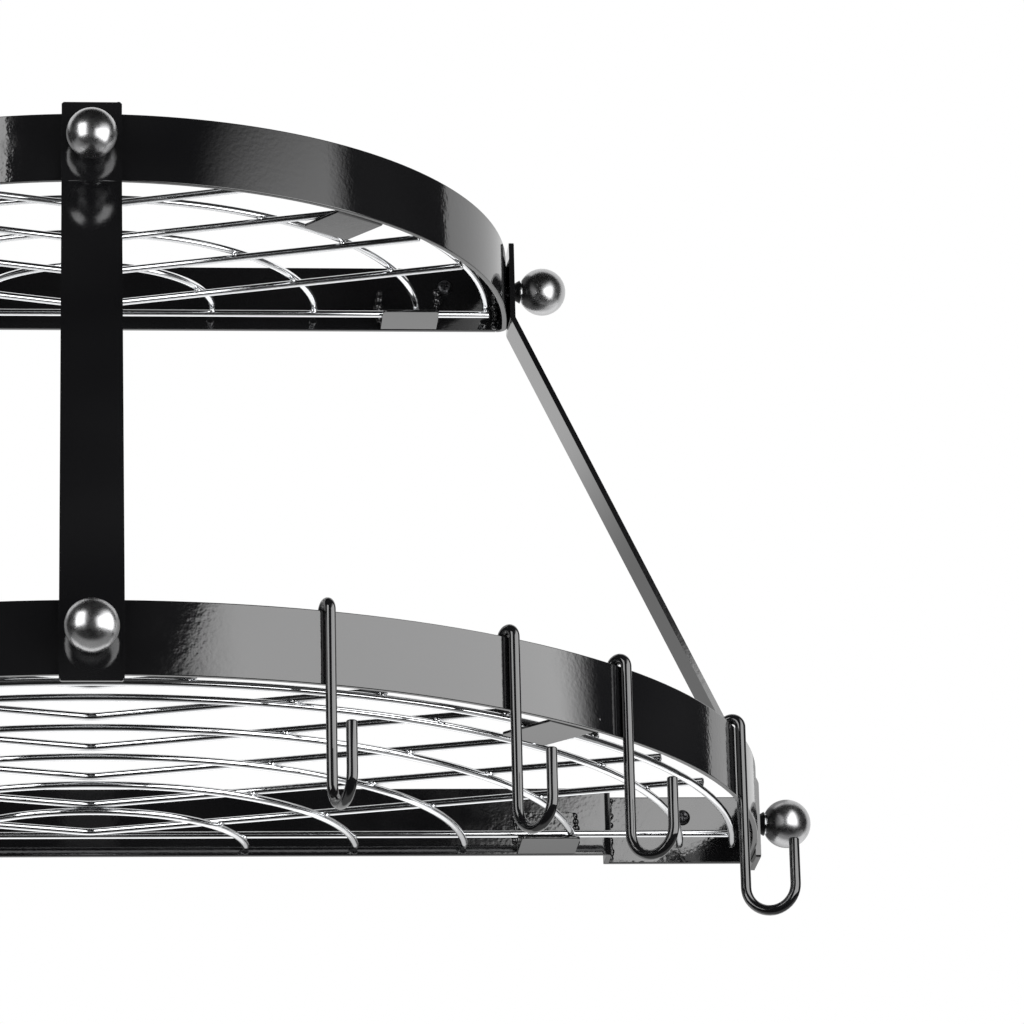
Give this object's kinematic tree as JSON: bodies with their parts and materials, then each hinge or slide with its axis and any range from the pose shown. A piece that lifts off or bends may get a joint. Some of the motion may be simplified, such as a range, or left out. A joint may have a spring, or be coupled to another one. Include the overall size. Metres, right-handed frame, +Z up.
{
  "type": "wall-mounted pot rack",
  "caption": "Wall-mounted pot rack with two half-round tiers of flat black bar, lift-out wire grids, sloping straps with ball ends, and hooks that slide along the lower band.",
  "frame": {"origin": "midway between the two upper wall screws, on the wall face of the upper back bar", "axes": "+X to the viewer's right, +Y into the wall along the wall screws, +Z up; the rack reaches toward -Y"},
  "size_m": [0.8026, 0.4593, 0.4255],
  "materials": {
    "black_enamel": "gloss",
    "satin_ball": "satin",
    "bright_wire": "polished",
    "black_wire": "gloss",
    "dark_screw": "dark zinc"
  },
  "bodies": {
    "frame": {"upper_band": "black_enamel", "upper_back_bar": "black_enamel", "lower_band": "black_enamel", "lower_back_bar": "black_enamel", "centre_strap": "black_enamel", "left_strap": "black_enamel", "right_strap": "black_enamel", "upper_flared_washers": "black_enamel", "lower_flared_washers": "black_enamel", "upper_clips": "black_enamel", "lower_clips": "black_enamel", "upper_centre_ball": "satin_ball", "upper_left_ball": "satin_ball", "upper_right_ball": "satin_ball", "lower_centre_ball": "satin_ball", "lower_left_ball": "satin_ball", "lower_right_ball": "satin_ball", "upper_ball_rings": "bright_wire", "lower_ball_rings": "bright_wire", "upper_strap_bolts": "dark_screw", "lower_strap_bolts": "dark_screw", "upper_wall_screws": "dark_screw", "lower_wall_screws": "dark_screw"},
    "upper_grid": {"upper_grid_rings": "bright_wire", "upper_grid_vees": "bright_wire", "upper_grid_back_wire": "bright_wire"},
    "lower_grid": {"lower_grid_rings": "bright_wire", "lower_grid_vees": "bright_wire", "lower_grid_back_wire": "bright_wire"},
    "hook_right_1": {"hook_right_1": "black_wire"},
    "hook_right_2": {"hook_right_2": "black_wire"},
    "hook_right_3": {"hook_right_3": "black_wire"},
    "hook_right_4": {"hook_right_4": "black_wire"},
    "hook_left_1": {"hook_left_1": "black_wire"},
    "hook_left_2": {"hook_left_2": "black_wire"},
    "hook_left_3": {"hook_left_3": "black_wire"},
    "hook_left_4": {"hook_left_4": "black_wire"}
  },
  "joints": [
    {"name": "hook_right_1_slide", "type": "hinge", "parent": "frame", "child": "hook_right_1", "pos_m": [0, -0.02, -0.341], "axis": [0, 0, 1], "range_deg": [-13, 7.5]},
    {"name": "hook_right_2_slide", "type": "hinge", "parent": "frame", "child": "hook_right_2", "pos_m": [0, -0.02, -0.341], "axis": [0, 0, 1], "range_deg": [-7.5, 5.5]},
    {"name": "hook_right_3_slide", "type": "hinge", "parent": "frame", "child": "hook_right_3", "pos_m": [0, -0.02, -0.341], "axis": [0, 0, 1], "range_deg": [-5.5, 10]},
    {"name": "hook_right_4_slide", "type": "hinge", "parent": "frame", "child": "hook_right_4", "pos_m": [0, -0.02, -0.341], "axis": [0, 0, 1], "range_deg": [-10, 12]},
    {"name": "hook_left_1_slide", "type": "hinge", "parent": "frame", "child": "hook_left_1", "pos_m": [0, -0.02, -0.341], "axis": [0, 0, 1], "range_deg": [-7.5, 13]},
    {"name": "hook_left_2_slide", "type": "hinge", "parent": "frame", "child": "hook_left_2", "pos_m": [0, -0.02, -0.341], "axis": [0, 0, 1], "range_deg": [-5.5, 7.5]},
    {"name": "hook_left_3_slide", "type": "hinge", "parent": "frame", "child": "hook_left_3", "pos_m": [0, -0.02, -0.341], "axis": [0, 0, 1], "range_deg": [-10, 5.5]},
    {"name": "hook_left_4_slide", "type": "hinge", "parent": "frame", "child": "hook_left_4", "pos_m": [0, -0.02, -0.341], "axis": [0, 0, 1], "range_deg": [-12, 10]},
    {"name": "upper_grid_lift", "type": "slide", "parent": "frame", "child": "upper_grid", "axis": [0, 0, 1], "range_m": [0, 0.15]},
    {"name": "lower_grid_lift", "type": "slide", "parent": "frame", "child": "lower_grid", "axis": [0, 0, 1], "range_m": [0, 0.045]}
  ]
}
